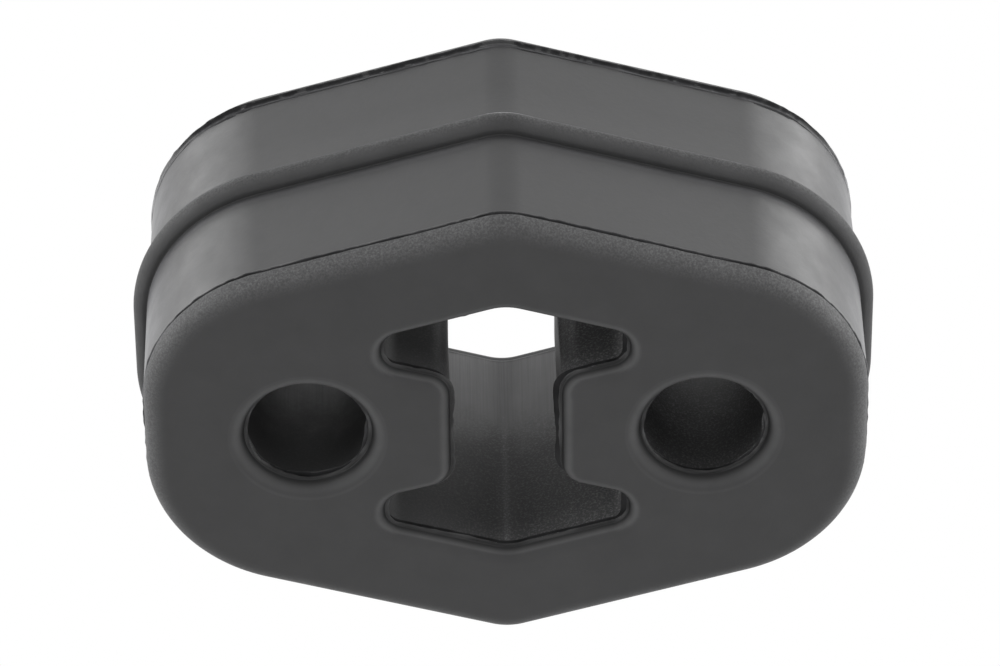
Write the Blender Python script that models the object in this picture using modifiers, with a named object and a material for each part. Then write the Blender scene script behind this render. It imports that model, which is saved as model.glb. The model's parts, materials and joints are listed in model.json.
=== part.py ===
"""Exhaust mount: one moulded rubber block that hangs an exhaust pipe from a car's floor.

The block is a low hexagon with rounded shoulders. A half-round rib runs round its girth, two round
holes take the hanger rods, and an I-shaped slot between them lets the rubber flex. Everything runs
through the block from its front face to its rear face.

Frame: origin at the block's centre, +X along the line of the two holes, +Z up towards one ridge,
and -Y out of the front face. Lengths are in metres.
"""
import math

import bmesh
import bpy

OBJECT_NAME = "exhaust_mount"
BODY_NAME = "rubber_mount"

# The block, seen from the front and from the side
BLOCK_WIDTH = 0.068
BLOCK_HEIGHT = 0.0496
BLOCK_DEPTH = 0.0308
ROOF_ANGLE = math.radians(16.6)
SHOULDER_RADIUS = 0.0153
RIDGE_RADIUS = 0.0056
FACE_FILLET = 0.0022

# The rib round the girth, at mid depth
RIB_RADIUS = 0.0013
RIB_FOOT_RADIUS = 0.0007

# The holes for the hanger rods
HOLE_DIAMETER = 0.012
HOLE_SPACING = 0.0373

# The I-shaped slot: a neck between two islands of rubber, with tapering arms above and below them
SLOT_ROOF_WALL = 0.0097
SLOT_WIDTH = 0.0232
SLOT_RIDGE_RADIUS = 0.0045
NECK_WIDTH = 0.0105
ISLAND_HEIGHT = 0.0122
ISLAND_SLOPE = math.radians(15.5)
ISLAND_CORNER_RADIUS = 0.0025
ARM_CORNER_RADIUS = 0.0021

# The rounding of every hole and slot where it meets a face
RIM_RADIUS = 0.0013

# How far the cutters run past the faces
CUTTER_MARGIN = 0.002

# The angle between neighbouring points on the outline's arcs and on the section's arcs
OUTLINE_STEP = math.radians(6.0)
SECTION_STEP = math.radians(18.0)
HOLE_SEGMENTS = 60

WELD_DISTANCE = 1e-6
FLAT_ANGLE = math.radians(0.1)
SHARP_ANGLE = math.radians(40.0)

RUBBER_COLOUR = (0.045, 0.045, 0.047, 1.0)
RUBBER_ROUGHNESS = 0.6


def clear_scene():
    """Remove every object that the start-up scene holds."""
    for old in list(bpy.data.objects):
        bpy.data.objects.remove(old)


def new_collection(name):
    """Make a collection under the scene's own."""
    collection = bpy.data.collections.new(name)
    bpy.context.scene.collection.children.link(collection)
    return collection


def rubber_material():
    """Black moulded rubber with a soft sheen."""
    material = bpy.data.materials.new("moulded_rubber")
    material.use_nodes = True
    shader = material.node_tree.nodes["Principled BSDF"]
    shader.inputs["Base Color"].default_value = RUBBER_COLOUR
    shader.inputs["Roughness"].default_value = RUBBER_ROUGHNESS
    shader.inputs["Metallic"].default_value = 0.0
    return material


def arc(centre, radius, start, end, step):
    """Points along an arc from one angle to another, both ends included."""
    count = max(2, math.ceil(abs(end - start) / step))
    points = []
    for index in range(count + 1):
        angle = start + (end - start) * index / count
        points.append((centre[0] + radius * math.cos(angle), centre[1] + radius * math.sin(angle)))
    return points


def rounded_corner(before, corner, after, radius):
    """The arc that rounds one corner of an outline, no longer than half of each side allows."""
    to_before = (before[0] - corner[0], before[1] - corner[1])
    to_after = (after[0] - corner[0], after[1] - corner[1])
    length_before = math.hypot(*to_before)
    length_after = math.hypot(*to_after)
    unit_before = (to_before[0] / length_before, to_before[1] / length_before)
    unit_after = (to_after[0] / length_after, to_after[1] / length_after)
    opening = math.acos(unit_before[0] * unit_after[0] + unit_before[1] * unit_after[1])
    tangent = min(radius / math.tan(opening / 2), length_before / 2, length_after / 2)
    fitted = tangent * math.tan(opening / 2)
    bisector = (unit_before[0] + unit_after[0], unit_before[1] + unit_after[1])
    reach = fitted / math.sin(opening / 2) / math.hypot(*bisector)
    centre = (corner[0] + bisector[0] * reach, corner[1] + bisector[1] * reach)
    first = (corner[0] + unit_before[0] * tangent, corner[1] + unit_before[1] * tangent)
    last = (corner[0] + unit_after[0] * tangent, corner[1] + unit_after[1] * tangent)
    start = math.atan2(first[1] - centre[1], first[0] - centre[0])
    turn = math.atan2(last[1] - centre[1], last[0] - centre[0]) - start
    turn = math.remainder(turn, 2 * math.pi)
    return arc(centre, fitted, start, start + turn, OUTLINE_STEP)


def rounded_outline(corners):
    """A closed outline from corners given as (x, z, radius), anticlockwise."""
    points = []
    for index, (x, z, radius) in enumerate(corners):
        before = corners[index - 1]
        after = corners[(index + 1) % len(corners)]
        points.extend(rounded_corner(before, (x, z), after, radius))
    return points


def mirrored_corners(quarter):
    """Corners of a shape with two mirror planes, from those of its upper right quarter.

    The quarter runs anticlockwise, ends on the ridge at x = 0 and has no corner at z = 0.
    """
    ridge = quarter[-1]
    right = quarter[:-1]
    upper_left = [(-x, z, radius) for x, z, radius in reversed(right)]
    lower_left = [(-x, -z, radius) for x, z, radius in right]
    lower_right = [(x, -z, radius) for x, z, radius in reversed(right)]
    lower_ridge = (ridge[0], -ridge[1], ridge[2])
    return right + [ridge] + upper_left + lower_left + [lower_ridge] + lower_right


def ridge_rise(radius):
    """How far a rounded ridge lies below the point where its two roofs would meet."""
    return radius * (1 / math.cos(ROOF_ANGLE) - 1)


def block_roof_peak():
    """Height at which the block's two upper roofs would meet."""
    return BLOCK_HEIGHT / 2 + ridge_rise(RIDGE_RADIUS)


def slot_roof_peak():
    """Height at which the slot's two upper roofs would meet, one wall below the block's."""
    return block_roof_peak() - SLOT_ROOF_WALL / math.cos(ROOF_ANGLE)


def block_outline():
    """The block's outer line: two ridges and four rounded shoulders."""
    peak = block_roof_peak()
    shoulder_z = peak - BLOCK_WIDTH / 2 * math.tan(ROOF_ANGLE)
    quarter = [
        (BLOCK_WIDTH / 2, shoulder_z, SHOULDER_RADIUS),
        (0.0, peak, RIDGE_RADIUS),
    ]
    return rounded_outline(mirrored_corners(quarter))


def slot_outline():
    """The slot's line: its roofs follow the block's, and its arms narrow towards their ends."""
    peak = slot_roof_peak()
    neck_x = NECK_WIDTH / 2
    end_x = SLOT_WIDTH / 2
    island_z = ISLAND_HEIGHT / 2
    floor_end_z = island_z + (end_x - neck_x) * math.tan(ISLAND_SLOPE)
    roof_end_z = peak - end_x * math.tan(ROOF_ANGLE)
    quarter = [
        (neck_x, island_z, ISLAND_CORNER_RADIUS),
        (end_x, floor_end_z, ARM_CORNER_RADIUS),
        (end_x, roof_end_z, ARM_CORNER_RADIUS),
        (0.0, peak, SLOT_RIDGE_RADIUS),
    ]
    return rounded_outline(mirrored_corners(quarter))


def block_section():
    """The block's edge, cut across: (inset, depth) from the front face round to the rear face.

    A negative inset stands out past the outline, which is where the rib is.
    """
    half_depth = BLOCK_DEPTH / 2
    fillet_depth = half_depth - FACE_FILLET
    foot_depth = math.sqrt(RIB_RADIUS ** 2 + 2 * RIB_RADIUS * RIB_FOOT_RADIUS)
    foot_turn = math.acos(RIB_FOOT_RADIUS / (RIB_RADIUS + RIB_FOOT_RADIUS))
    fillet = arc((FACE_FILLET, fillet_depth), FACE_FILLET, math.pi / 2, math.pi, SECTION_STEP)
    foot = arc((-RIB_FOOT_RADIUS, foot_depth), RIB_FOOT_RADIUS, 0.0, -foot_turn, SECTION_STEP)
    half_bead = arc((0.0, 0.0), RIB_RADIUS, math.pi - foot_turn, math.pi, SECTION_STEP)
    front_half = fillet + foot + half_bead[1:]
    rear_half = [(inset, -depth) for inset, depth in reversed(front_half[:-1])]
    return front_half + rear_half


def bore_section():
    """The wall of a hole or slot, cut across: (widening, depth) from front to rear."""
    half_depth = BLOCK_DEPTH / 2
    centre = (RIM_RADIUS, half_depth - RIM_RADIUS)
    rim = arc(centre, RIM_RADIUS, math.pi / 2, math.pi, SECTION_STEP)
    front_half = [(RIM_RADIUS, half_depth + CUTTER_MARGIN)] + rim
    rear_half = [(widening, -depth) for widening, depth in reversed(front_half)]
    return front_half + rear_half


def section_curve(name, section, collection):
    """An open curve that another curve can carry round its outline."""
    data = bpy.data.curves.new(name, "CURVE")
    data.dimensions = "2D"
    spline = data.splines.new("POLY")
    spline.points.add(len(section) - 1)
    for point, (inset, depth) in zip(spline.points, section):
        point.co = (inset, depth, 0.0, 1.0)
    guide = bpy.data.objects.new(name, data)
    guide.hide_render = True
    guide.display_type = "WIRE"
    collection.objects.link(guide)
    return guide


def swept_solid(name, outline, section, collection, guides):
    """Carry a section round a closed outline, fill the two ends and weld it into one solid."""
    data = bpy.data.curves.new(name, "CURVE")
    data.dimensions = "2D"
    data.fill_mode = "BOTH"
    data.bevel_mode = "OBJECT"
    data.bevel_object = section_curve(name + "_section", section, guides)
    spline = data.splines.new("POLY")
    spline.points.add(len(outline) - 1)
    for point, (x, z) in zip(spline.points, outline):
        point.co = (x, z, 0.0, 1.0)
    spline.use_cyclic_u = True
    path = bpy.data.objects.new(name + "_path", data)
    path.rotation_euler.x = math.pi / 2
    collection.objects.link(path)
    bpy.context.view_layer.update()
    evaluated = path.evaluated_get(bpy.context.evaluated_depsgraph_get())
    mesh = bpy.data.meshes.new_from_object(evaluated)
    mesh.name = name
    shell = bmesh.new()
    shell.from_mesh(mesh)
    bmesh.ops.remove_doubles(shell, verts=shell.verts, dist=WELD_DISTANCE)
    bmesh.ops.dissolve_limit(shell, angle_limit=FLAT_ANGLE, verts=shell.verts, edges=shell.edges)
    bmesh.ops.recalc_face_normals(shell, faces=shell.faces)
    shell.to_mesh(mesh)
    shell.free()
    solid = bpy.data.objects.new(name, mesh)
    solid.matrix_world = path.matrix_world
    collection.objects.link(solid)
    bpy.data.objects.remove(path)
    return solid


def mark_as_cutter(cutter):
    """Show a cutter as wire and keep it out of renders."""
    cutter.hide_render = True
    cutter.display_type = "WIRE"


def hole_cutter(name, x, cutters):
    """A turned cutter for one rod hole, flared at both faces to round the rims."""
    radius = HOLE_DIAMETER / 2
    profile = [(radius + widening, depth) for widening, depth in bore_section()]
    top = profile[0][1]
    profile = [(0.0, top)] + profile + [(0.0, -top)]
    mesh = bpy.data.meshes.new(name)
    edges = [(index, index + 1) for index in range(len(profile) - 1)]
    mesh.from_pydata([(across, 0.0, depth) for across, depth in profile], edges, [])
    cutter = bpy.data.objects.new(name, mesh)
    cutter.location.x = x
    cutter.rotation_euler.x = math.pi / 2
    cutters.objects.link(cutter)
    screw = cutter.modifiers.new("Turn", "SCREW")
    screw.axis = "Z"
    screw.angle = 2 * math.pi
    screw.steps = HOLE_SEGMENTS
    screw.render_steps = HOLE_SEGMENTS
    screw.use_merge_vertices = True
    screw.merge_threshold = WELD_DISTANCE
    mark_as_cutter(cutter)
    return cutter


def slot_cutter(cutters):
    """The I-shaped cutter, flared at both faces like the hole cutters."""
    section = [(-widening, depth) for widening, depth in bore_section()]
    cutter = swept_solid("slot_cutter", slot_outline(), section, cutters, cutters)
    mark_as_cutter(cutter)
    return cutter


def cut(body, cutter):
    """Take one cutter out of the body."""
    modifier = body.modifiers.new(cutter.name, "BOOLEAN")
    modifier.operation = "DIFFERENCE"
    modifier.solver = "EXACT"
    modifier.object = cutter


def rubber_mount(parts, cutters):
    """The whole mount: block and rib in one sweep, then the holes and the slot."""
    body = swept_solid(BODY_NAME, block_outline(), block_section(), parts, cutters)
    body.data.materials.append(rubber_material())
    body.data.shade_smooth()
    body.data.set_sharp_from_angle(angle=SHARP_ANGLE)
    cut(body, hole_cutter("left_hole_cutter", -HOLE_SPACING / 2, cutters))
    cut(body, hole_cutter("right_hole_cutter", HOLE_SPACING / 2, cutters))
    cut(body, slot_cutter(cutters))
    return body


def main():
    clear_scene()
    parts = new_collection(OBJECT_NAME)
    cutters = new_collection("cutters")
    rubber_mount(parts, cutters)


main()
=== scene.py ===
# %% [markdown]
# # A moulded rubber exhaust mount
# This lesson gives an exhaust mount its looks. The mount is one block of black rubber: a low
# hexagon with rounded shoulders, a half-round rib round its girth, two holes for the hanger rods
# and an I-shaped slot that lets it flex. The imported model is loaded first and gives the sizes
# that everything below is worked out from.

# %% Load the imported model
import json
import math

import bmesh
import bpy
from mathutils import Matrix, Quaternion, Vector, noise

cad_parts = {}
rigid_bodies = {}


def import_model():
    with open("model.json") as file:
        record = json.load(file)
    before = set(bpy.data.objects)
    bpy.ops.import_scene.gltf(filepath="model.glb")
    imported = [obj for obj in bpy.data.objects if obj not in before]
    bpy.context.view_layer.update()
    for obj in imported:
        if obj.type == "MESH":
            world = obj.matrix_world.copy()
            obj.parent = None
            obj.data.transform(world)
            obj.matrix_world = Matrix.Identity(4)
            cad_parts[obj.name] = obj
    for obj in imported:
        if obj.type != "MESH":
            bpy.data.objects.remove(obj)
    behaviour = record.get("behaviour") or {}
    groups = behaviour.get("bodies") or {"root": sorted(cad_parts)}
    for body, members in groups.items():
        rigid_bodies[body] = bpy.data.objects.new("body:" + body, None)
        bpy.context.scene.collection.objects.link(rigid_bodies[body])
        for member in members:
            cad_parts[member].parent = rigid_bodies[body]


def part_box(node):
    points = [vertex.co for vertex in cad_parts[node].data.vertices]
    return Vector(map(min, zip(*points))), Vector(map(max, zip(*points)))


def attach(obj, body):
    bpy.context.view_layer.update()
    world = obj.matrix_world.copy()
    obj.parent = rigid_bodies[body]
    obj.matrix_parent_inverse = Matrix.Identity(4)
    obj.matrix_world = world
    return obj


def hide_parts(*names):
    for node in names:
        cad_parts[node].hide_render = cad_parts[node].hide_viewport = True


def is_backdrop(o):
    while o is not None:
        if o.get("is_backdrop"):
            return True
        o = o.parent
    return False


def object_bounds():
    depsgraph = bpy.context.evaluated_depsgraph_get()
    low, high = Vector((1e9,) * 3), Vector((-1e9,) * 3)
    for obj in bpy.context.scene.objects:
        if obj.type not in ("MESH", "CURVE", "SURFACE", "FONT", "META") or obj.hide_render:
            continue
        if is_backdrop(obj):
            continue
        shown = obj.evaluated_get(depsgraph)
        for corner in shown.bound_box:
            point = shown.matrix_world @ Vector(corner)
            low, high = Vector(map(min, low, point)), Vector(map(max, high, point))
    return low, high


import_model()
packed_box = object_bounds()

MM = 0.001
lowest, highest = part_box("rubber_mount")
print("packed mount, mm:", [round(side / MM, 2) for side in highest - lowest])

# %% [markdown]
# ## The sizes of the block
# The real block was drawn as a hexagon and rounded, so its line needs only a width, a height, the
# slope of its roofs and two radii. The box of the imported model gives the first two, once the rib
# that stands out all round has been taken off.

# %% The block's driving sizes
RIB_RADIUS = 1.3 * MM
RIB_FOOT_RADIUS = 0.12 * MM
ROOF_ANGLE = math.radians(16.6)
SHOULDER_RADIUS = 15.3 * MM
RIDGE_RADIUS = 5.6 * MM
FACE_FILLET = 2.2 * MM

HALF_WIDTH = (highest.x - lowest.x) / 2 - RIB_RADIUS
HALF_HEIGHT = (highest.z - lowest.z) / 2 - RIB_RADIUS
HALF_DEPTH = (highest.y - lowest.y) / 2
SEAM_DEPTH = HALF_DEPTH - FACE_FILLET
print("block, mm:", round(2 * HALF_WIDTH / MM, 2), round(2 * HALF_HEIGHT / MM, 2))

# %% The sizes of the holes and the slot
HOLE_RADIUS = 6.0 * MM
HOLE_SPACING = 37.3 * MM
SLOT_ROOF_WALL = 9.7 * MM
SLOT_WIDTH = 23.2 * MM
SLOT_RIDGE_RADIUS = 4.5 * MM
NECK_WIDTH = 10.5 * MM
ISLAND_HEIGHT = 12.2 * MM
ISLAND_SLOPE = math.radians(15.5)
ISLAND_CORNER_RADIUS = 2.5 * MM
ARM_CORNER_RADIUS = 2.1 * MM
RIM_RADIUS = 1.3 * MM
RIM_DEPTH = HALF_DEPTH - RIM_RADIUS

block_peak = HALF_HEIGHT + RIDGE_RADIUS * (1 / math.cos(ROOF_ANGLE) - 1)
slot_peak = block_peak - SLOT_ROOF_WALL / math.cos(ROOF_ANGLE)
print("roofs meet at, mm:", round(block_peak / MM, 2), round(slot_peak / MM, 2))

# %% [markdown]
# ## One pen for every line
# A moulded edge is one section carried along one line. Both can be drawn the same way: a pen that
# goes straight for a while and then turns on a radius. Blender's spin does both, because a spin
# with a drift and no angle is a straight run. Given one vertex it draws a line, and given a
# line it draws a surface. It was chosen over a curve with a bevel object because the rows can then
# be packed closely where the flash stands and set wide apart where the rubber is plain.

# %% Straight runs and turns
COLUMN_STEP = 0.3 * MM


def steps_for(length):
    """How many columns a run of this length is given."""
    return max(1, round(length / COLUMN_STEP))


def pull(shape, last, offset, steps):
    """Carry the last vertices and edges straight on, in equal steps."""
    made = bmesh.ops.spin(
        shape,
        geom=last,
        cent=(0, 0, 0),
        axis=(0, 0, 1),
        dvec=offset / steps,
        angle=0,
        steps=steps,
        use_duplicate=False,
    )
    return made["geom_last"]


def turn(shape, last, centre, axis, angle, steps):
    """Carry the last vertices and edges round a centre."""
    made = bmesh.ops.spin(
        shape,
        geom=last,
        cent=centre,
        axis=axis,
        dvec=(0, 0, 0),
        angle=angle,
        steps=steps,
        use_duplicate=False,
    )
    return made["geom_last"]


# %% [markdown]
# ## Walking a section along an outline
# The outline is written as its sharp corners with a radius for each. A walker goes from corner to
# corner: straight for what the roundings leave of a side, then round the corner on its radius. Seen
# from the front the mount has two mirror planes, so only a quarter is walked, from the middle of
# one flank up to the ridge, and mirrored afterwards.

# %% The walker
def walk(shape, section, corners):
    """Carry a section from the first point, round each corner, to the plane x = 0.

    Corners are (x, z, radius). The last one is on the plane and gets half of its turn.
    """
    last = section
    spent = 0.0
    for index in range(1, len(corners)):
        before = Vector((corners[index - 1][0], 0, corners[index - 1][1]))
        corner = Vector((corners[index][0], 0, corners[index][1]))
        radius = corners[index][2]
        heading = (corner - before).normalized()
        if index + 1 < len(corners):
            after = Vector((corners[index + 1][0], 0, corners[index + 1][1]))
        else:
            after = Vector((-before.x, 0, before.z))
        leaving = (after - corner).normalized()
        side = 1 if heading.z * leaving.x - heading.x * leaving.z < 0 else -1
        bend = heading.angle(leaving)
        tangent = radius * math.tan(bend / 2)
        length = (corner - before).length - spent - tangent
        last = pull(shape, last, heading * length, steps_for(length))
        left = Vector((-heading.z, 0, heading.x))
        centre = corner - heading * tangent + left * side * radius
        angle = bend if index + 1 < len(corners) else bend / 2
        last = turn(shape, last, centre, (0, -side, 0), angle, steps_for(radius * angle))
        spent = tangent
    return last


# %% Mirror and close a shape
WELD = 0.002 * MM


def mirror_in(shape, axis):
    """Mirror the whole shape in one of the middle planes and weld it there."""
    everything = shape.verts[:] + shape.edges[:] + shape.faces[:]
    bmesh.ops.mirror(shape, geom=everything, merge_dist=WELD, axis=axis)


def close_seams(shape):
    """Merge what the mirrors left double and turn every face outwards."""
    bmesh.ops.remove_doubles(shape, verts=shape.verts, dist=WELD)
    bmesh.ops.recalc_face_normals(shape, faces=shape.faces)


# %% [markdown]
# Recalculating the normals of a surface with open ends can leave them on either side. A wall round
# an opening has its normals towards the opening where, added up, they point to its middle.

# %% Turn a wall towards its opening
def face_opening(shape, centre_x):
    """Turn every normal of a wall towards the opening inside it."""
    shape.normal_update()
    centre = Vector((centre_x, 0, 0))
    outward = 0.0
    for vertex in shape.verts:
        outside = vertex.co - centre
        outward += vertex.normal.x * outside.x + vertex.normal.z * outside.z
    if outward > 0:
        bmesh.ops.reverse_faces(shape, faces=shape.faces)
    shape.normal_update()


# %% [markdown]
# ## The edge of the block
# From the front face the edge of the real block turns through a full fillet, runs back along a
# flat side, rises in a soft foot to the half-round rib, comes down behind it and turns through a
# second fillet into the rear face. A block could be bevelled and a rib laid round it instead, but
# one chain walked round keeps every row parallel to the mould's joints. The rows stand close
# together where a fillet meets the side: that is where the flash will be raised.

# %% Draw the edge section and walk it round
FACE_RING = 0.6 * MM
FINE_TURN = math.radians(12)
FRONT_RUN = 0.36 * MM
REAR_RUN = 0.98 * MM
SHADE_RUN = 1.5 * MM
Y_AXIS = Vector((0, 1, 0))
UP = (0, 0, 1)
DOWN = (0, 0, -1)
rib_reach = math.sqrt(RIB_RADIUS ** 2 + 2 * RIB_RADIUS * RIB_FOOT_RADIUS)


def edge_section(shape):
    """The edge from the flat of the front face to the flat of the rear face, as a chain.

    The last number of each call is how many rows that stretch gets.
    """
    fillet_x = HALF_WIDTH - FACE_FILLET
    foot_x = HALF_WIDTH + RIB_FOOT_RADIUS
    foot_turn = math.acos(RIB_FOOT_RADIUS / (RIB_RADIUS + RIB_FOOT_RADIUS))
    plain = SEAM_DEPTH - rib_reach
    ring = Vector((FACE_RING, 0, 0))
    start = shape.verts.new((fillet_x - FACE_RING, -HALF_DEPTH, 0))
    last = pull(shape, [start], ring, 3)
    last = turn(shape, last, (fillet_x, -SEAM_DEPTH, 0), UP, math.pi / 2 - FINE_TURN, 9)
    last = turn(shape, last, (fillet_x, -SEAM_DEPTH, 0), UP, FINE_TURN, 8)
    last = pull(shape, last, Y_AXIS * FRONT_RUN, 7)
    last = pull(shape, last, Y_AXIS * (plain - FRONT_RUN - SHADE_RUN), 2)
    last = pull(shape, last, Y_AXIS * SHADE_RUN, 6)
    last = turn(shape, last, (foot_x, -rib_reach, 0), UP, -foot_turn, 6)
    last = turn(shape, last, (HALF_WIDTH, 0, 0), UP, 2 * foot_turn, 16)
    last = turn(shape, last, (foot_x, rib_reach, 0), UP, -foot_turn, 4)
    last = pull(shape, last, Y_AXIS * (plain - REAR_RUN), 2)
    last = pull(shape, last, Y_AXIS * REAR_RUN, 18)
    last = turn(shape, last, (fillet_x, SEAM_DEPTH, 0), UP, FINE_TURN, 4)
    last = turn(shape, last, (fillet_x, SEAM_DEPTH, 0), UP, math.pi / 2 - FINE_TURN, 6)
    pull(shape, last, -ring, 2)
    return shape.verts[:] + shape.edges[:]


block_corners = [
    (HALF_WIDTH, 0.0, 0.0),
    (HALF_WIDTH, block_peak - HALF_WIDTH * math.tan(ROOF_ANGLE), SHOULDER_RADIUS),
    (0.0, block_peak, RIDGE_RADIUS),
]


def block_skin():
    """The block's edge all round, front and rear."""
    shape = bmesh.new()
    walk(shape, edge_section(shape), block_corners)
    for axis in "XZ":
        mirror_in(shape, axis)
    close_seams(shape)
    return shape


skin = block_skin()
print("block skin:", len(skin.verts), "vertices,", len(skin.faces), "faces")

# %% [markdown]
# ## The holes and the slot
# Each opening turns the same idea inside out: the section starts on the front face, rounds the
# rim, runs down the wall and rounds the rear rim. A full spin turns it into a rod hole. The same
# walker carries it round the slot. Cutting the openings out with booleans would be shorter, but it
# would leave rims without the even rows that lips and creases need.

# %% Draw the wall section
LIP_RUN = 1.1 * MM
TAIL_RUN = 0.35 * MM


def wall_section(shape, wall_x):
    """An opening's wall from the front face to the rear face, with the rubber towards +X."""
    rim_x = wall_x + RIM_RADIUS
    ring = Vector((FACE_RING / 2, 0, 0))
    start = shape.verts.new((rim_x + FACE_RING / 2, -HALF_DEPTH, 0))
    last = pull(shape, [start], -ring, 2)
    last = turn(shape, last, (rim_x, -RIM_DEPTH, 0), DOWN, math.pi / 2 - FINE_TURN, 9)
    last = turn(shape, last, (rim_x, -RIM_DEPTH, 0), DOWN, FINE_TURN, 4)
    last = pull(shape, last, Y_AXIS * LIP_RUN, 18)
    last = pull(shape, last, Y_AXIS * (2 * RIM_DEPTH - LIP_RUN - TAIL_RUN), 4)
    last = pull(shape, last, Y_AXIS * TAIL_RUN, 6)
    last = turn(shape, last, (rim_x, RIM_DEPTH, 0), DOWN, FINE_TURN, 2)
    last = turn(shape, last, (rim_x, RIM_DEPTH, 0), DOWN, math.pi / 2 - FINE_TURN, 5)
    pull(shape, last, ring, 1)
    return shape.verts[:] + shape.edges[:]


# %% Turn a rod hole
def rod_hole(centre_x):
    """The wall and the two rims of one rod hole."""
    shape = bmesh.new()
    bmesh.ops.spin(
        shape,
        geom=wall_section(shape, HOLE_RADIUS),
        cent=(0, 0, 0),
        axis=(0, 1, 0),
        dvec=(0, 0, 0),
        angle=2 * math.pi,
        steps=steps_for(2 * math.pi * HOLE_RADIUS),
        use_merge=True,
        use_duplicate=False,
    )
    bmesh.ops.translate(shape, verts=shape.verts, vec=(centre_x, 0, 0))
    close_seams(shape)
    face_opening(shape, centre_x)
    return shape


left_hole = rod_hole(-HOLE_SPACING / 2)
right_hole = rod_hole(HOLE_SPACING / 2)
print("rod hole:", len(left_hole.faces), "faces")

# %% Walk the slot
neck_x = NECK_WIDTH / 2
end_x = SLOT_WIDTH / 2
island_z = ISLAND_HEIGHT / 2
slot_corners = [
    (neck_x, 0.0, 0.0),
    (neck_x, island_z, ISLAND_CORNER_RADIUS),
    (end_x, island_z + (end_x - neck_x) * math.tan(ISLAND_SLOPE), ARM_CORNER_RADIUS),
    (end_x, slot_peak - end_x * math.tan(ROOF_ANGLE), ARM_CORNER_RADIUS),
    (0.0, slot_peak, SLOT_RIDGE_RADIUS),
]


def slot_wall():
    """The wall and the two rims of the I-shaped slot."""
    shape = bmesh.new()
    walk(shape, wall_section(shape, neck_x), slot_corners)
    for axis in "XZ":
        mirror_in(shape, axis)
    close_seams(shape)
    face_opening(shape, 0.0)
    return shape


slot = slot_wall()
print("slot:", len(slot.faces), "faces")

# %% [markdown]
# ## Flash
# Flash is the thin fin of rubber that squeezes into the joint of a mould. On this part it stands
# round the block where each fillet meets the side, and inside the rims of the openings. It is
# trimmed by tearing, so it is uneven, stops and starts, and leaves a groove under it. That groove
# is also painted dark as shade. Here the close rows are moved away from the rubber by a short
# profile, and noise gives its height at each place.
# Real geometry was chosen over bump because a fin has to show on the silhouette and in its own
# shadow.

# %% Noise that is the same on every run
def rough(point, size, seed):
    """Smooth noise from about -1 to 1 whose lumps are about as large as size."""
    return noise.noise(point / size + Vector((seed, seed * 1.7, seed * 2.3)))


def hump(distance, width):
    """A rounded hump that is 1 at distance 0 and 0 beyond the width."""
    share = max(0.0, 1.0 - abs(distance) / width)
    return share * share * (3 - 2 * share)


# %% [markdown]
# Four values ride along on the vertices. Three are for the materials: how much painted shade a
# place gets, how much it is painted pale as highlights and reflections, with some wear, and how
# gritty it is, where on the fillets the grit also paints them paler as lit. The fourth marks where
# a dark finish of its own is put on to paint shade.

# %% Values kept on the vertices
def value_layers(shape):
    """The values that the materials and the finishes read."""
    names = ("painted_shade", "sheen_and_wear", "grit_and_light", "shadowed")
    layers = shape.verts.layers.float
    return [layers.get(name) or layers.new(name) for name in names]


def away_from_rubber(vertex):
    """The direction out of the rubber, seen from the front."""
    flat = Vector((vertex.normal.x, 0, vertex.normal.z))
    return flat.normalized() if flat.length > 0.1 else Vector((0, 0, 0))


# %% [markdown]
# A joint of the mould is described by its fins and its lines painted dark as shade, listed by how
# far past the joint each one stands. A fin has a height, limits to how much of it the tearing left,
# a tip that may be painted pale as a highlight, bites, and a lean that makes it higher on one flank
# than the other. A fin of the flanks stands only there. A line has a depth and limits to its
# darkness, and a share of it may get the dark shadowed finish, which paints shade as well.

# %% Describe fins and lines
TINY = 0.01 * MM
FADE = 0.1 * MM


def held(value, least, most):
    """The value, held between two limits."""
    return min(most, max(least, value))


def fin(at, width, height, least, most, sheen=0.0, lean=0.0, bites=0.6, flanks=False):
    """One fin of flash; sizes in mm, shares of the height that the tearing leaves."""
    return {"at": at * MM, "width": width * MM, "height": height * MM, "least": least,
            "most": most, "sheen": sheen, "lean": lean, "bites": bites, "flanks": flanks}


def line(at, width, depth, least, most, shade_finish=0.0):
    """One line painted dark as shade along a joint; sizes in mm, limits of its darkness."""
    return {"at": at * MM, "width": width * MM, "depth": depth * MM,
            "least": least, "most": most, "shade_finish": shade_finish}


# %% [markdown]
# Tearing is never even. Slow noise says how much of a fin is left, quick noise takes bites out of
# it, and where a joint has several fins or lines they drift against each other. Each one has a seed
# of its own, so no two run alike.

# %% One fin at one place
TEAR_MIDDLE = 0.5
TEAR_UNEVEN = 0.9
TEAR_SIZE = 5 * MM
BITE_SIZE = 0.9 * MM
FIN_DRIFT = 0.08 * MM
FIN_DRIFT_SIZE = 2.5 * MM
TIP_SHARE = 0.6


def share_left(ridge, place, away, number):
    """The share of a fin's height that the tearing left at a place."""
    left = TEAR_MIDDLE + TEAR_UNEVEN * rough(place, TEAR_SIZE, number)
    left += ridge["bites"] * rough(place, BITE_SIZE, number + 3)
    left = ridge["least"] + (ridge["most"] - ridge["least"]) * left
    share = held(left, ridge["least"], ridge["most"]) * (1 + ridge["lean"] * away.x)
    return share * away.x ** 2 if ridge["flanks"] else share


def fin_at(ridge, order, place, away, past, number):
    """How high one fin stands at a place, and how pale its tip is painted as a highlight there."""
    share = share_left(ridge, place, away, number)
    shift = FIN_DRIFT * order * rough(place, FIN_DRIFT_SIZE, number + 5)
    reach = past - ridge["at"] + shift
    height = hump(reach, ridge["width"]) * share * ridge["height"]
    tip = hump(reach, TIP_SHARE * ridge["width"]) * held(share, 0.0, 1.0)
    return height, tip * ridge["sheen"]


# %% One line at one place
LINE_MIDDLE = 0.6
LINE_UNEVEN = 1.3
LINE_SIZE = 3 * MM
LINE_DRIFT = 0.09 * MM
LINE_DRIFT_SIZE = 2 * MM


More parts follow.
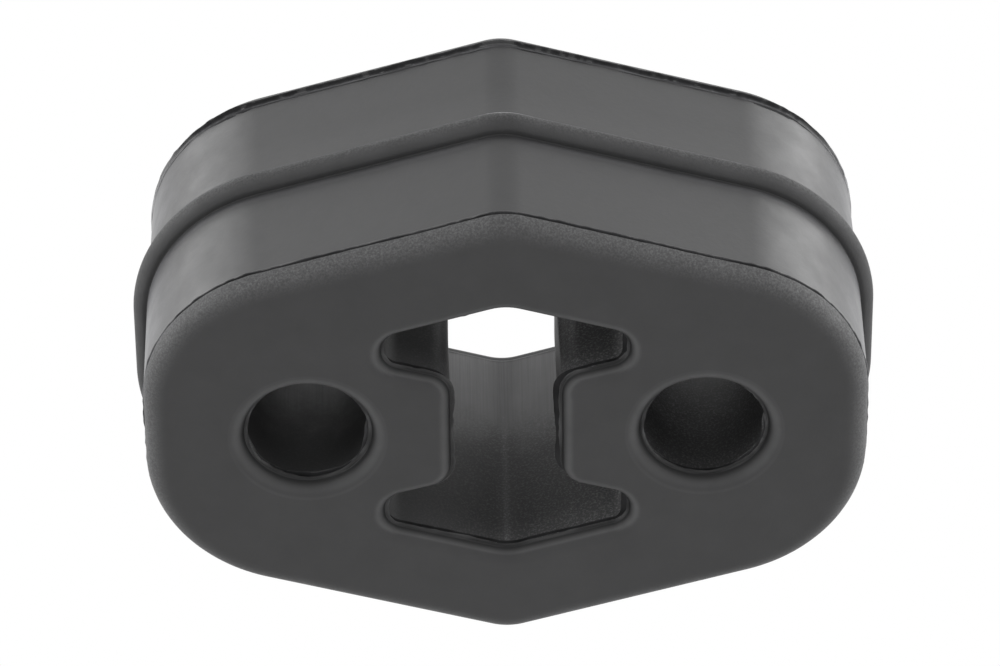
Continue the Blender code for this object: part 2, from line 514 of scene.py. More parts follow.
def line_at(mark, order, place, past, number):
    """How dark one line is painted as shade at a place, and how much shadowed finish it gets there."""
    strength = LINE_MIDDLE + LINE_UNEVEN * rough(place, LINE_SIZE, number)
    strength = held(strength, mark["least"], mark["most"])
    shift = LINE_DRIFT * order * rough(place, LINE_DRIFT_SIZE, number + 5)
    share = hump(past - mark["at"] + shift, mark["width"])
    shade_finish = share * mark["shade_finish"] * held(2 * strength - 0.2, 0.0, 1.0)
    return share * strength, shade_finish


# %% Raise flash at one joint of the mould
SLOW_WANDER = 0.12 * MM
SLOW_WANDER_SIZE = 6 * MM
QUICK_WANDER = 0.05 * MM
QUICK_WANDER_SIZE = 1.2 * MM
SEED_STEP = 7
LINE_SEEDS = 31


def raise_flash(shape, joint, seed):
    """Fins with tips painted pale as highlights, and lines painted dark as shade, along one joint.

    joint holds its end (-1 front, 1 rear), its depth, the run of close rows past it, the share of
    the height left where the rubber faces sideways, its fins and its lines.
    """
    painted_shade, sheen_and_wear, _, shadowed = value_layers(shape)
    shape.normal_update()
    for vertex in shape.verts:
        behind = joint["depth"] - vertex.co.y * joint["end"]
        if behind > joint["run"] - TINY:
            continue
        place = Vector((vertex.co.x, joint["end"] * HALF_DEPTH, vertex.co.z))
        wander = SLOW_WANDER * rough(place, SLOW_WANDER_SIZE, seed)
        wander += QUICK_WANDER * rough(place, QUICK_WANDER_SIZE, seed + 1)
        past = behind + wander
        faded = min(1.0, (joint["run"] - behind) / FADE)
        away = away_from_rubber(vertex)
        standing = 1 + (joint["at_sides"] - 1) * away.x ** 4
        lift = 0.0
        sheen = 0.0
        for order, ridge in enumerate(joint["fins"]):
            height, tip = fin_at(ridge, order, place, away, past, seed + SEED_STEP * order)
            lift = max(lift, height * standing)
            sheen = max(sheen, tip)
        for order, mark in enumerate(joint["lines"]):
            number = seed + LINE_SEEDS + SEED_STEP * order
            dark, shade_finish = line_at(mark, order, place, past, number)
            # Each line is a real groove, and it is also painted dark as shade.
            lift -= dark * mark["depth"]
            vertex[painted_shade] = max(vertex[painted_shade], dark)
            vertex[shadowed] = max(vertex[shadowed], shade_finish)
        # Fin tips are painted pale as highlights.
        vertex[sheen_and_wear] = max(vertex[sheen_and_wear], sheen * faded)
        vertex.co += away * lift * faded


# %% Count what was marked
def count_marked(shape, name):
    """How many vertices carry more than half of a value."""
    layer = shape.verts.layers.float[name]
    return sum(vertex[layer] > 0.5 for vertex in shape.verts)


# %% [markdown]
# The front joint closed well: one low fin over a line painted dark as shade. The rear joint gaped,
# so its fin stands higher, with a second fin of no height in front of it that only paints a pale
# line as a highlight. A joint is a plain table of numbers, which can be changed and tried again
# without touching the code that raises it.

# %% Flash of the block
front_joint = {
    "end": -1,
    "depth": SEAM_DEPTH,
    "run": FRONT_RUN,
    "at_sides": 1.0,
    "fins": [fin(0.10, 0.17, 0.15, 0.15, 1.3, sheen=0.3)],
    "lines": [line(-0.02, 0.20, 0.16, 0.85, 1.0, shade_finish=1.0)],
}
rear_joint = {
    "end": 1,
    "depth": SEAM_DEPTH,
    "run": REAR_RUN,
    "at_sides": 0.3,
    "fins": [
        fin(0.09, 0.15, 0.46, 0.80, 1.05),
        # This fin has no height and only paints a pale line as a highlight.
        fin(0.42, 0.40, 0.0, 1.0, 1.0, sheen=0.7, bites=0.0),
    ],
    "lines": [
        line(0.05, 0.14, 0.0, 0.25, 0.60, shade_finish=1.0),
        line(0.55, 0.17, 0.06, 0.0, 1.0, shade_finish=1.0),
    ],
}
raise_flash(skin, front_joint, 3)
raise_flash(skin, rear_joint, 43)
print("torn vertices at the joints:", count_marked(skin, "shadowed"))

# %% [markdown]
# ## A band painted as shade over the shoulders and a drafted rear half
# Over the upper shoulders a ragged band in front of the rear flash is painted dark as shade and
# given the shadowed finish. Shaping it in the mesh would need far more rows, so it is only marked on
# the rows that are there. The rear half also narrows a little towards the rear, because it was
# drawn from its half of the mould.

# %% Band painted as shade over the shoulders
BAND_REACH = 1.35 * MM
BAND_FACING = 0.47
BAND_SPREAD = 0.30
BAND_RAGGED = 0.35 * MM
BAND_FRAYED = 0.2 * MM
BAND_SHADE = 0.6


def shaded_band(shape, seed):
    """A ragged band painted dark as shade in front of the rear flash, over the upper shoulders."""
    painted_shade, _, _, shadowed = value_layers(shape)
    for vertex in shape.verts:
        behind = SEAM_DEPTH - vertex.co.y
        if vertex.co.z < 0 or behind < 0 or behind > REAR_RUN:
            continue
        turned = hump(abs(away_from_rubber(vertex).x) - BAND_FACING, BAND_SPREAD)
        ragged = BAND_RAGGED * rough(vertex.co, 2 * MM, seed)
        ragged += BAND_FRAYED * rough(vertex.co, 0.7 * MM, seed + 1)
        inside = held((turned * BAND_REACH + ragged * turned - behind) / FADE, 0.0, 1.0)
        mottled = held(0.75 + 1.2 * rough(vertex.co, 0.5 * MM, seed + 2), 0.0, 1.0)
        vertex[shadowed] = max(vertex[shadowed], inside * mottled)
        vertex[painted_shade] = max(vertex[painted_shade], BAND_SHADE * inside * mottled)


shaded_band(skin, 7)
print("torn vertices with the band:", count_marked(skin, "shadowed"))

# %% Draft of the rear half
REAR_DRAFT = 0.17 * MM
DRAFT_FROM = 2 * RIB_RADIUS


def draft_rear(shape):
    """Narrow the rear half towards the rear at the flanks."""
    shape.normal_update()
    for vertex in shape.verts:
        along = (vertex.co.y - DRAFT_FROM) / (SEAM_DEPTH - DRAFT_FROM)
        away = away_from_rubber(vertex)
        vertex.co += away * -REAR_DRAFT * held(along, 0.0, 1.0) * away.x ** 4


draft_rear(skin)
print("draft of each flank, mm:", round(REAR_DRAFT / MM, 2))

# %% [markdown]
# ## Lips and walls of the openings
# A rod hole has a low lip at its rim and a ragged second one a little deeper, where the core that
# made the hole met the mould. The slot has the same pair, but the second lip stands only at its
# flanks. The neck's walls gave way when its core was pulled. They are moved afterwards in the
# finished wall, which is simpler than drawing a bent outline from the start.

# %% Flash of the openings
hole_rim = {
    "end": -1,
    "depth": RIM_DEPTH,
    "run": LIP_RUN,
    "at_sides": 1.0,
    "fins": [
        fin(0.05, 0.10, 0.36, 0.75, 1.15, bites=0.3),
        fin(0.74, 0.14, 0.80, -0.3, 0.85, sheen=0.60, lean=-0.6, bites=0.1),
        # This fin has no height and only paints a pale line on the flanks as a highlight.
        fin(0.06, 0.09, 0.0, 0.8, 1.0, sheen=0.65, flanks=True),
    ],
    "lines": [
        line(0.47, 0.40, 0.0, 0.60, 0.90, shade_finish=1.0),
        line(-0.03, 0.10, 0.0, 0.60, 0.85),
    ],
}
slot_rim = {
    "end": -1,
    "depth": RIM_DEPTH,
    "run": LIP_RUN,
    "at_sides": 1.0,
    "fins": [
        fin(0.06, 0.13, 0.38, 0.50, 1.10, sheen=0.30, lean=0.20),
        fin(0.62, 0.26, 0.42, 0.75, 1.1, lean=-0.80, bites=0.3, flanks=True),
    ],
    "lines": [
        line(-0.02, 0.14, 0.0, 0.15, 0.75),
        line(0.60, 0.40, 0.0, 0.60, 1.0, shade_finish=1.0),
    ],
}
rear_rim = {
    "end": 1,
    "depth": RIM_DEPTH,
    "run": TAIL_RUN,
    "at_sides": 2.5,
    "fins": [fin(0.12, 0.18, 0.07, 0.3, 1.2, lean=-0.9)],
    "lines": [line(0.02, 0.10, 0.0, 0.2, 0.9)],
}
openings = ((left_hole, hole_rim), (right_hole, hole_rim), (slot, slot_rim))
for order, (opening, rim) in enumerate(openings):
    raise_flash(opening, rim, 61 + 10 * order)
    raise_flash(opening, rear_rim, 101 + 10 * order)

print("torn vertices in the slot:", count_marked(slot, "shadowed"))

# %% The neck's walls out of true
NECK_BULGE = 0.42 * MM
NECK_HOLLOW = 0.20 * MM
NECK_REACH = 10 * MM


def bend_neck(shape):
    """The right wall of the neck bulges in the middle of its depth and the left one gives way."""
    shape.normal_update()
    for vertex in shape.verts:
        if abs(vertex.co.x) >= neck_x + FADE:
            continue
        away = away_from_rubber(vertex)
        inside = max(0.0, 1 - (vertex.co.y / (RIM_DEPTH - LIP_RUN)) ** 2)
        amount = NECK_BULGE if away.x < 0 else NECK_HOLLOW
        vertex.co.x -= inside * hump(vertex.co.z, NECK_REACH) * amount * away.x ** 2


bend_neck(slot)
print("neck moved by up to, mm:", round(NECK_BULGE / MM, 2), round(NECK_HOLLOW / MM, 2))

# %% [markdown]
# ## Painted light and shade on the rims, fillets, sides and rib
# The rolls of the rims are painted pale as highlights, set by how much they look up, and dark as
# shade in the crease by the lip. The fillets keep the grit of the blasted mould, and the same specks
# paint them paler as lit. The ends of the sides and a band before the rib's foot are painted pale as
# reflections, the rib gets a painted highlight arc over its crest and a thin pale line beside its
# foot, and its foot and crest are painted dark as shade. Such masks can be painted by hand or baked
# from the shape. Here every row's distance from its edge is known, so a rounded hump over that
# distance marks each place the same way on every run.

# %% Mark the rims of the openings
CREASE_SHADE = 0.65
CREASE_AT = 0.02 * MM
CREASE_CLEARED = 0.6
ROLL_SHADE = 0.25
ROLL_SHADE_REACH = 0.6 * MM
ROLL_SHEEN = 0.13
LIP_REACH = 0.13


def mark_rims(shape, roll):
    """Painted shade in the crease beside the lip and on the roll, and a band painted pale as a
    highlight.

    roll holds where its pale band lies from the wall, how far it spreads, how wide the crease is,
    how much paler the band gets where the roll looks up, and how much tighter all of it is there.
    """
    painted_shade, sheen_and_wear, _, _ = value_layers(shape)
    for vertex in shape.verts:
        reach = (-vertex.co.y - RIM_DEPTH) / RIM_RADIUS
        if reach < LIP_REACH or vertex.is_boundary:
            continue
        below = max(0.0, away_from_rubber(vertex).z)
        aside = RIM_RADIUS * (1 - math.sqrt(max(0.0, 1 - reach ** 2)))
        tighter = 1 - roll["tighter"] * below
        # The crease and the roll are painted dark as shade; the band is painted pale as a highlight.
        crease = CREASE_SHADE * hump(aside - CREASE_AT, roll["crease"] * tighter)
        crease *= 1 - CREASE_CLEARED * roll["tighter"] * below
        shade = ROLL_SHADE * hump(aside, ROLL_SHADE_REACH) * (1 - below)
        pale = hump(aside - roll["at"] * tighter, roll["spread"] * tighter)
        vertex[sheen_and_wear] = ROLL_SHEEN * pale * (1 + roll["upward"] * below)
        vertex[painted_shade] = crease + shade


hole_roll = {
    "at": 0.90 * MM,
    "spread": 0.65 * MM,
    "crease": 0.55 * MM,
    "upward": -0.6,
    "tighter": 0.35,
}
slot_roll = {
    "at": 0.68 * MM,
    "spread": 0.48 * MM,
    "crease": 0.26 * MM,
    "upward": 0.4,
    "tighter": 0.65,
}
mark_rims(left_hole, hole_roll)
mark_rims(right_hole, hole_roll)
mark_rims(slot, slot_roll)
print("creased vertices in the slot:", count_marked(slot, "painted_shade"))

# %% Mark the fillets and the sides
FILLET_GRIT_AND_LIGHT = 0.6
RIB_GRIT = 0.8
RIB_GRIT_AT = 0.3 * MM
RIB_GRIT_REACH = 1.3 * MM
END_SHEEN = 1.3
END_SHEEN_FROM = 30.5 * MM
END_SHEEN_RUN = 3 * MM
FOOT_LINE = 1.35 * MM
SHEEN_BY_FOOT = 0.60 * MM
RIDGE_REACH = 5 * MM


def mark_grit(shape):
    """Grit specks on the fillets and the rib; on the fillets they also paint them paler as lit."""
    _, _, grit_and_light, _ = value_layers(shape)
    for vertex in shape.verts:
        depth = abs(vertex.co.y)
        if depth > SEAM_DEPTH:
            vertex[grit_and_light] = FILLET_GRIT_AND_LIGHT * max(0.0, 1 - ((depth - SEAM_DEPTH) / FACE_FILLET) ** 4)
        on_rib = RIB_GRIT * hump(vertex.co.y - RIB_GRIT_AT, RIB_GRIT_REACH)
        vertex[grit_and_light] = max(vertex[grit_and_light], on_rib)


def mark_sides(shape):
    """Ends of the sides and a band before the rib's foot painted pale as reflections, not at the
    ridge.
    """
    _, sheen_and_wear, _, _ = value_layers(shape)
    for vertex in shape.verts:
        if rib_reach < abs(vertex.co.y) < SEAM_DEPTH:
            end_sheen = held((abs(vertex.co.x) - END_SHEEN_FROM) / END_SHEEN_RUN, 0.0, 1.0)
            foot_sheen = hump(vertex.co.y + FOOT_LINE + SHEEN_BY_FOOT, SHEEN_BY_FOOT)
            foot_sheen *= 0.5 * (1 - hump(vertex.co.x, RIDGE_REACH))
            vertex[sheen_and_wear] = max(vertex[sheen_and_wear], END_SHEEN * end_sheen, foot_sheen)


mark_grit(skin)
mark_sides(skin)
print("gritty vertices:", count_marked(skin, "grit_and_light"))

# %% Mark the rib
FOOT_SHADE = 0.6
FOOT_SHADE_REACH = 0.20 * MM
CREST_SHADE = 0.25
CREST_SHADE_REACH = 1.2 * MM
ARC_SHEEN = 1.6
ARC_AT = 0.72 * MM
ARC_WIDTH = 0.30 * MM
ARC_MIDDLE = 0.3 * MM
ARC_LENGTH = 3.2 * MM
PALE_LINE_FROM = 19 * MM
PALE_LINE_TO = 31 * MM
PALE_LINE_AT = 1.60 * MM
PALE_LINE_REACH = 0.13 * MM


def mark_rib(shape):
    """Painted shade on the rib's foot and crest, a painted highlight arc and a thin pale line by the
    foot.
    """
    painted_shade, sheen_and_wear, _, _ = value_layers(shape)
    for vertex in shape.verts:
        x, y, z = vertex.co
        if not -2 * FOOT_LINE < y < rib_reach:
            continue
        foot = FOOT_SHADE * hump(y + FOOT_LINE, FOOT_SHADE_REACH)
        crest = CREST_SHADE * hump(y, CREST_SHADE_REACH)
        vertex[painted_shade] = max(vertex[painted_shade], foot, crest)
        if z > 0:
            # The arc over the crest is a painted highlight.
            arc = ARC_SHEEN * hump(y - ARC_AT, ARC_WIDTH) * hump(x - ARC_MIDDLE, ARC_LENGTH)
            pale_line = hump(y + PALE_LINE_AT, PALE_LINE_REACH) if PALE_LINE_FROM < x < PALE_LINE_TO else 0.0
            vertex[sheen_and_wear] = max(vertex[sheen_and_wear], arc, pale_line)


mark_rib(skin)
print("worn vertices of the block:", count_marked(skin, "sheen_and_wear"))

# %% [markdown]
# ## One closed body
# The four surfaces are brought together and the two flat faces are filled between their rims. A
# bridge joins only two loops and a grid fill takes only one, while a triangle fill closes the face
# round all the openings at once and leaves them open. Every rim brought its own narrow flat ring, so
# the long triangles of the fill meet only flat neighbours and shade evenly.

# %% Join and fill the faces
def merged(shapes):
    """All shapes in one bmesh."""
    whole = bmesh.new()
    for shape in shapes:
        carrier = bpy.data.meshes.new("carrier")
        shape.to_mesh(carrier)
        shape.free()
        whole.from_mesh(carrier)
        bpy.data.meshes.remove(carrier)
    return whole


body = merged([skin, left_hole, right_hole, slot])
for y in (-HALF_DEPTH, HALF_DEPTH):
    rims = [edge for edge in body.edges if edge.is_boundary and edge.verts[0].co.y * y > 0]
    bmesh.ops.triangle_fill(body, edges=rims, use_beauty=True, use_dissolve=False)
close_seams(body)
open_edges = [edge for edge in body.edges if len(edge.link_faces) != 2]
print("whole body:", len(body.faces), "faces,", len(open_edges), "open edges")
print("volume, cm3:", round(body.calc_volume() * 1e6, 2))

# %% [markdown]
# ## Materials
# One rubber, six finishes. The faces and fillets came out of sand-blasted mould faces and are
# matt. The sides slid past a polished ring and are satin. The rib is matt again and grainier. A
# dark and rough shadowed finish paints shade in grooves and along the flash, and the holes and the
# slot carry the drag marks of the cores that were pulled through them. Pictures could be painted
# for all this, but noise in the piece's own coordinates has no seams and its size is set in
# millimetres.

# %% Helpers for node trees
def add_node(tree, kind, **settings):
    """A node of this kind with its settings."""
    made = tree.nodes.new(kind)
    for name, value in settings.items():
        setattr(made, name, value)
    return made


def lumps(tree, place, size, detail, rough_share, stretch=(1, 1, 1)):
    """Noise in the piece's own coordinates, with lumps of the given size in metres."""
    sizes = add_node(tree, "ShaderNodeMapping")
    sizes.inputs["Scale"].default_value = [1 / (size * share) for share in stretch]
    made = add_node(tree, "ShaderNodeTexNoise")
    made.inputs["Scale"].default_value = 1.0
    made.inputs["Detail"].default_value = detail
    made.inputs["Roughness"].default_value = rough_share
    tree.links.new(place, sizes.inputs["Vector"])
    tree.links.new(sizes.outputs["Vector"], made.inputs["Vector"])
    return made.outputs["Fac"]


def remap(tree, value, low, high, to_low, to_high, smooth=False):
    """Stretch one range of a value on to another."""
    made = add_node(tree, "ShaderNodeMapRange")
    made.interpolation_type = "SMOOTHSTEP" if smooth else "LINEAR"
    made.inputs["From Min"].default_value = low
    made.inputs["From Max"].default_value = high
    made.inputs["To Min"].default_value = to_low
    made.inputs["To Max"].default_value = to_high
    tree.links.new(value, made.inputs["Value"])
    return made.outputs["Result"]


NOISE_LOW = 0.3
NOISE_HIGH = 0.7


def uneven(tree, noise_value, least, most):
    """Noise stretched from the range it mostly keeps to on to two limits."""
    return remap(tree, noise_value, NOISE_LOW, NOISE_HIGH, least, most)


def calculate(tree, operation, first, second):
    """One sum on two values, each a socket or a plain number."""
    made = add_node(tree, "ShaderNodeMath", operation=operation)
    for slot_index, value in enumerate((first, second)):
        if isinstance(value, (int, float)):
            made.inputs[slot_index].default_value = value
        else:
            tree.links.new(value, made.inputs[slot_index])
    return made.outputs["Value"]


# %% The rubber's tone
PAINTED_SHADE_DARKNESS = 0.88
SHEEN_AND_WEAR_GAIN = 3.0
SHEEN_AND_WEAR_PATCHY = 0.2
GRIT_AND_LIGHT_GAIN = 0.85
BLOTCH_SIZE = 4 * MM
SPECK_SIZE = 0.20 * MM
SPECKS_FROM = 0.40
SPECKS_TO = 0.70


def kept_value(tree, name):
    """One of the values kept on the vertices."""
    return add_node(tree, "ShaderNodeAttribute", attribute_name=name).outputs["Fac"]


def paler(tree, gain, name):
    """One plus a gain wherever a kept value says so."""
    raised = calculate(tree, "MULTIPLY", gain, kept_value(tree, name))
    return calculate(tree, "ADD", raised, 1.0)


def tone_level(tree, place, mottle):
    """Uneven tone, painted dark as shade, painted pale as highlights and wear, and paler with grit."""
    blotches = lumps(tree, place, BLOTCH_SIZE, 5, 0.6)
    specks = lumps(tree, place, SPECK_SIZE, 3, 0.7)
    level = uneven(tree, blotches, 1 - mottle, 1 + mottle)
    darkened = remap(tree, kept_value(tree, "painted_shade"), 0, 1, 1, 1 - PAINTED_SHADE_DARKNESS)
    patchy = uneven(tree, blotches, SHEEN_AND_WEAR_GAIN * (1 - SHEEN_AND_WEAR_PATCHY), SHEEN_AND_WEAR_GAIN * (1 + SHEEN_AND_WEAR_PATCHY))
    spread = remap(tree, specks, SPECKS_FROM, SPECKS_TO, 0, 2 * GRIT_AND_LIGHT_GAIN)
    for factor in (darkened, paler(tree, patchy, "sheen_and_wear"), paler(tree, spread, "grit_and_light")):
        level = calculate(tree, "MULTIPLY", level, factor)
    return level


def set_tone(tree, shader, tone, level):
    """The base colour: one tone times the level at each place."""
    tint = add_node(tree, "ShaderNodeVectorMath", operation="SCALE")
    tint.inputs[0].default_value = tone
    tree.links.new(level, tint.inputs["Scale"])
    tree.links.new(tint.outputs["Vector"], shader.inputs["Base Color"])


def set_bump(tree, shader, height, distance):
    """Fine relief of the given depth in metres."""
    bump = add_node(tree, "ShaderNodeBump")
    bump.inputs["Strength"].default_value = 1.0
    bump.inputs["Distance"].default_value = distance
    tree.links.new(height, bump.inputs["Height"])
    tree.links.new(bump.outputs["Normal"], shader.inputs["Normal"])


# %% The rubber of the outer surfaces
MATT_TONE = (0.071, 0.071, 0.072)
SATIN_TONE = (0.018, 0.018, 0.019)
RIB_TONE = (0.068, 0.068, 0.069)
SHADOWED_TONE = (0.045, 0.045, 0.047)
GLOSS_PATCHY = 0.06
GLOSS_PATCH_SIZE = 3 * MM


def rubber(name, tone, roughness, specular, grain, grain_depth, mottle):
    """Black rubber with a fine grain, uneven tone, painted shade and painted highlights with some
    wear.

    grain and grain_depth are its size and relief in metres, mottle the unevenness of its tone.
    """
    material = bpy.data.materials.new(name)
    material.use_nodes = True
    tree = material.node_tree
    shader = tree.nodes["Principled BSDF"]
    shader.inputs["Specular IOR Level"].default_value = specular
    place = add_node(tree, "ShaderNodeTexCoord").outputs["Object"]
    set_tone(tree, shader, tone, tone_level(tree, place, mottle))
    patches = lumps(tree, place, GLOSS_PATCH_SIZE, 4, 0.6)
    gloss = uneven(tree, patches, roughness - GLOSS_PATCHY, roughness + GLOSS_PATCHY)
    tree.links.new(gloss, shader.inputs["Roughness"])
    set_bump(tree, shader, lumps(tree, place, grain, 4, 0.7), grain_depth)
    return material


matt_rubber = rubber("matt_rubber", MATT_TONE, 0.50, 0.15, 0.30 * MM, 0.020 * MM, 0.05)
satin_rubber = rubber("satin_rubber", SATIN_TONE, 0.38, 0.72, 0.60 * MM, 0.012 * MM, 0.06)
rib_rubber = rubber("rib_rubber", RIB_TONE, 0.55, 0.13, 0.30 * MM, 0.035 * MM, 0.10)
# A dark, rough finish that paints shade in grooves and along the flash.
shadowed_rubber = rubber("shadowed_rubber", SHADOWED_TONE, 0.70, 0.15, 0.20 * MM, 0.010 * MM, 0.25)
print("outer finishes:", matt_rubber.name, satin_rubber.name, rib_rubber.name, shadowed_rubber.name)

# %% [markdown]
# The cores were pulled out towards the rear, so the rear half of each wall is rubbed satin and
# finely scored along its depth, and it is painted paler as lit through the rear opening. The front
# half kept the blasted grain and holds specks of dust, and along the middle of the slot a pale line
# is painted as a highlight.

# %% Marks that the cores left
SCORE_SIZE = 0.16 * MM
SCORE_STRETCH = 60
SCORE_DEPTH = 0.003 * MM
DUST_SIZE = 0.22 * MM
DUST_FROM = 0.48
DUST_TO = 0.70
HIGHLIGHT_REACH = 0.5 * MM
RUBBED_AND_LIT_WOBBLE = 1.5 * MM


def dust_and_highlight_level(tree, place, beside, highlight_gain):
    """Specks of dust, thicker towards +X, and a line along the middle painted pale as a highlight."""
    dust = remap(tree, lumps(tree, place, DUST_SIZE, 2, 0.7), DUST_FROM, DUST_TO, 0, 1)
    drift = remap(tree, beside, -9 * MM, 6 * MM, 0.15, 1)
    dusty = remap(tree, calculate(tree, "MULTIPLY", dust, drift), 0, 1, 0.92, 3.4)
    middle = calculate(tree, "ABSOLUTE", beside, 0)
    near = 0.1 * HIGHLIGHT_REACH
    middle_highlight = remap(tree, middle, near, HIGHLIGHT_REACH, 1 + highlight_gain, 1, smooth=True)
    return calculate(tree, "MULTIPLY", dusty, middle_highlight)


def mixed(tree, share, first, second):
    """Two values mixed by a share."""
    made = add_node(tree, "ShaderNodeMix", data_type="FLOAT")
    tree.links.new(share, made.inputs["Factor"])
    tree.links.new(first, made.inputs["A"])
    tree.links.new(second, made.inputs["B"])
    return made.outputs["Result"]


# %% The rubber inside the openings
def bore_finish(name, front_tone, rear_lit_tone, rubbed_and_lit_from, rubbed_and_lit_to, rear_gloss, highlight_gain):
    """Matt and dusty at the front; at the rear satin, scored along its depth and painted paler as lit.
    """
    material = bpy.data.materials.new(name)
    material.use_nodes = True
    tree = material.node_tree
    shader = tree.nodes["Principled BSDF"]
    shader.inputs["Specular IOR Level"].default_value = 0.5
    place = add_node(tree, "ShaderNodeTexCoord").outputs["Object"]
    split = add_node(tree, "ShaderNodeSeparateXYZ")
    tree.links.new(place, split.inputs["Vector"])
    wobble = uneven(tree, lumps(tree, place, 3 * MM, 4, 0.6), -RUBBED_AND_LIT_WOBBLE, RUBBED_AND_LIT_WOBBLE)
    depth = calculate(tree, "ADD", split.outputs["Y"], wobble)
    rear = remap(tree, depth, rubbed_and_lit_from, rubbed_and_lit_to, 0, 1, smooth=True)
    scores = lumps(tree, place, SCORE_SIZE, 2, 0.5, stretch=(1, SCORE_STRETCH, 1))
    dusty = dust_and_highlight_level(tree, place, split.outputs["X"], highlight_gain)
    marks = mixed(tree, rear, dusty, uneven(tree, scores, 0.86, 1.14))
    level = calculate(tree, "MULTIPLY", tone_level(tree, place, 0.08), marks)
    # The rear half is painted paler as lit through the rear opening.
    level = calculate(tree, "MULTIPLY", level, remap(tree, rear, 0, 1, front_tone, rear_lit_tone))
    set_tone(tree, shader, (1.0, 1.0, 1.02), level)
    tree.links.new(remap(tree, rear, 0, 1, 0.55, rear_gloss), shader.inputs["Roughness"])
    set_bump(tree, shader, scores, SCORE_DEPTH)
    return material


hole_rubber = bore_finish("hole_rubber", 0.034, 0.170, -10 * MM, 3 * MM, 0.30, 0)
slot_rubber = bore_finish("slot_rubber", 0.055, 0.145, -1.5 * MM, 6.5 * MM, 0.38, 0.8)
print("inner finishes:", hole_rubber.name, slot_rubber.name)

# %% [markdown]
# A mesh can carry several materials, one for each face. Which one a face gets follows from where it
# lies, so nothing has to be picked by hand. The shadowed finish, which paints shade, comes first,
# because it crosses the others.

# %% Give each face its finish
finishes = [matt_rubber, satin_rubber, rib_rubber, shadowed_rubber, hole_rubber, slot_rubber]
MATT, SATIN, RIB, SHADOWED, HOLE, SLOT = range(len(finishes))
SHADOWED_FROM = 0.45
LIP_FINISH = 0.3 * MM
FIN_FOOT = 0.24 * MM


def in_hole(point):
    """Whether a point belongs to the wall or rim of a rod hole."""
    aside = abs(abs(point.x) - HOLE_SPACING / 2)
    return math.hypot(aside, point.z) < HOLE_RADIUS + RIM_RADIUS


def in_slot(point):
    """Whether a point belongs to the wall or rim of the slot."""
    roof = slot_peak + RIM_RADIUS / math.cos(ROOF_ANGLE) - abs(point.x) * math.tan(ROOF_ANGLE)
    return abs(point.x) < end_x + RIM_RADIUS and abs(point.z) < roof


def finish_of(face, shadowed):
    """Which finish a face has."""
    point = face.calc_center_median()
    # The shadowed finish paints shade.
    if sum(vertex[shadowed] for vertex in face.verts) > SHADOWED_FROM * len(face.verts):
        return SHADOWED
    if in_hole(point) or in_slot(point):
        if point.y < -RIM_DEPTH + LIP_FINISH or point.y > RIM_DEPTH:
            return MATT
        return HOLE if in_hole(point) else SLOT
    if point.y < -SEAM_DEPTH or point.y > SEAM_DEPTH - FIN_FOOT:
        return MATT
    return RIB if abs(point.y) < rib_reach else SATIN


shadowed_values = body.verts.layers.float["shadowed"]
for face in body.faces:
    face.material_index = finish_of(face, shadowed_values)
    face.smooth = True
print("torn faces:", sum(face.material_index == SHADOWED for face in body.faces))

# %% Make the piece
mesh = bpy.data.meshes.new("moulded_rubber_body")
body.to_mesh(mesh)
body.free()
for material in finishes:
    mesh.materials.append(material)
mount = bpy.data.objects.new("moulded_rubber_body", mesh)
bpy.context.scene.collection.objects.link(mount)
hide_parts("rubber_mount")
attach(mount, "root")
triangles = sum(len(polygon.vertices) - 2 for polygon in mesh.polygons)
print("finished body:", triangles, "triangles")

# %% [markdown]
# ## Stage, light and camera
# The mount is shot on white. The floor lies well below it, so no shadow reaches the picture. The
# white could come from strong light on the floor, but that would spill on to the rubber. Instead
# camera rays and reflections see floor and surroundings as plain white, while the rubber is lit by
# soft lamps above, behind and at both sides.

# %% White surroundings
SURROUND_LEVEL = 0.30


def seen_as_white(tree):
    """1 for rays that should meet plain white: from the camera, mirrored or through glass."""
    rays = add_node(tree, "ShaderNodeLightPath")
    shown = calculate(tree, "MAXIMUM", rays.outputs["Is Camera Ray"], rays.outputs["Is Glossy Ray"])
    return calculate(tree, "MAXIMUM", shown, rays.outputs["Is Transmission Ray"])


world = bpy.data.worlds.new("white_studio")
world.use_nodes = True
bpy.context.scene.world = world
air = world.node_tree
background = air.nodes["Background"]
background.inputs["Color"].default_value = (1, 1, 1, 1)
strength = remap(air, seen_as_white(air), 0, 1, SURROUND_LEVEL, 1)
air.links.new(strength, background.inputs["Strength"])

# %% Floor
FLOOR_DROP = 0.1
FLOOR_SIZE = 1.5

plane = bmesh.new()
bmesh.ops.create_grid(plane, x_segments=1, y_segments=1, size=FLOOR_SIZE)
bmesh.ops.translate(plane, verts=plane.verts, vec=(0, 0, lowest.z - FLOOR_DROP))
floor_mesh = bpy.data.meshes.new("studio_floor")
plane.to_mesh(floor_mesh)
plane.free()
floor = bpy.data.objects.new("studio_floor", floor_mesh)
bpy.context.scene.collection.objects.link(floor)
floor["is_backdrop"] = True

paper = bpy.data.materials.new("white_paper")
paper.use_nodes = True
sheet_tree = paper.node_tree
sheet_tree.nodes["Principled BSDF"].inputs["Base Color"].default_value = (0.8, 0.8, 0.8, 1)
sheet_tree.nodes["Principled BSDF"].inputs["Roughness"].default_value = 0.9
glow = add_node(sheet_tree, "ShaderNodeEmission")
glow.inputs["Strength"].default_value = 1.0
mixer = add_node(sheet_tree, "ShaderNodeMixShader")
sheet_tree.links.new(seen_as_white(sheet_tree), mixer.inputs["Fac"])
sheet_tree.links.new(sheet_tree.nodes["Principled BSDF"].outputs["BSDF"], mixer.inputs[1])
sheet_tree.links.new(glow.outputs["Emission"], mixer.inputs[2])
sheet_tree.links.new(mixer.outputs["Shader"], sheet_tree.nodes["Material Output"].inputs["Surface"])
floor_mesh.materials.append(paper)

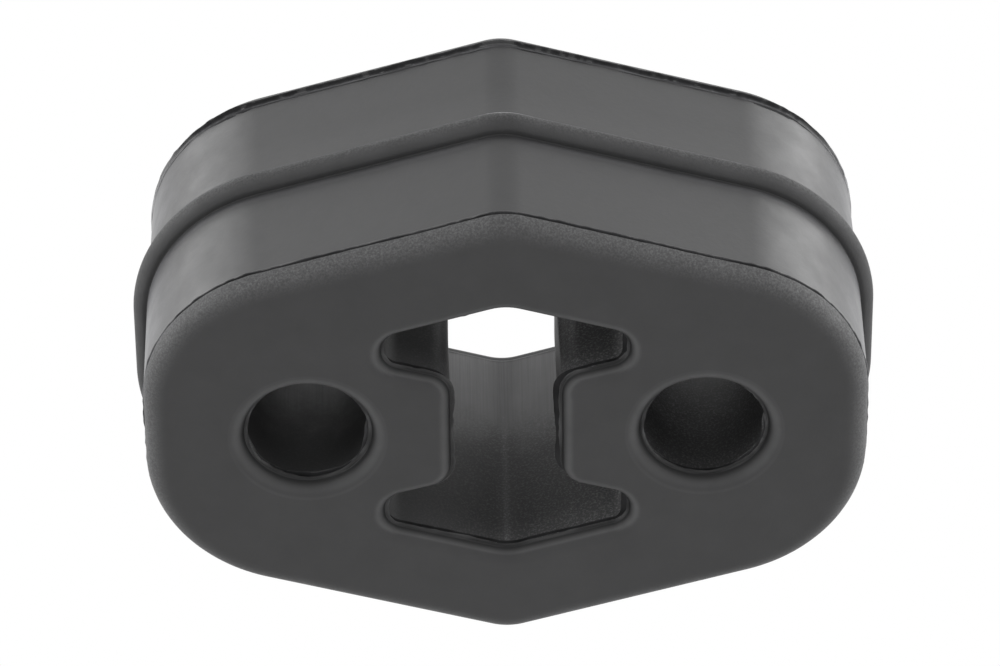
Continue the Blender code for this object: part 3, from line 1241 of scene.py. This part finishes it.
# %% Lamps
def softbox(name, place, size, radiance):
    """A square soft lamp that looks at the mount, with the brightness of its own face."""
    lamp = bpy.data.lights.new(name, "AREA")
    lamp.shape = "SQUARE"
    lamp.size = size
    lamp.energy = radiance * math.pi * size * size
    holder = bpy.data.objects.new(name, lamp)
    holder.location = place
    holder.rotation_euler = (-Vector(place)).to_track_quat("-Z", "Y").to_euler()
    bpy.context.scene.collection.objects.link(holder)


softbox("left_back_softbox", (-0.73, 0.565, 0.08), 0.9, 1.35)
softbox("right_back_softbox", (0.755, 0.53, 0.08), 0.9, 2.05)
softbox("left_softbox", (-0.95, 0, 0.15), 0.6, 3.6)
softbox("right_softbox", (0.95, 0, 0.15), 0.6, 4.6)
softbox("left_high_softbox", (-0.70, -0.10, 0.65), 0.5, 4.6)
softbox("right_high_softbox", (0.70, -0.10, 0.65), 0.5, 2.9)
print("lamps:", len(bpy.data.lights))

# %% [markdown]
# The camera looks down at the mount through a long lens, which keeps its sides nearly parallel. Its
# place is worked out from one target, a distance and two angles, and a small roll levels the picture
# as the photograph has it. Typing in a place and a turn by hand would hide what each number does.

# %% Camera
CAMERA_TARGET = Vector((-0.37 * MM, 0, 0.06 * MM))
CAMERA_DISTANCE = 0.6177
CAMERA_ELEVATION = math.radians(38.66)
CAMERA_TURN = math.radians(0.54)
CAMERA_ROLL = math.radians(0.54)
CAMERA_LENS = 232.17

level_share = math.cos(CAMERA_ELEVATION)
sideways = -math.sin(CAMERA_TURN) * level_share
forwards = -math.cos(CAMERA_TURN) * level_share
back = Vector((sideways, forwards, math.sin(CAMERA_ELEVATION)))
camera_data = bpy.data.cameras.new("camera")
camera_data.lens = CAMERA_LENS
camera = bpy.data.objects.new("camera", camera_data)
camera.location = CAMERA_TARGET + back * CAMERA_DISTANCE
level_view = (-back).to_track_quat("-Z", "Y")
camera.rotation_mode = "QUATERNION"
camera.rotation_quaternion = level_view @ Quaternion((0, 0, 1), -CAMERA_ROLL)
bpy.context.scene.collection.objects.link(camera)
bpy.context.scene.camera = camera
bpy.context.scene.view_settings.view_transform = "Standard"
print("camera stands at, m:", [round(value, 3) for value in camera.location])

# %% Print how much the mount grew
dressed_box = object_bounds()
growth = Vector(dressed_box[1]) - Vector(packed_box[1])
print("grown by, mm:", [round(side / MM, 3) for side in growth])
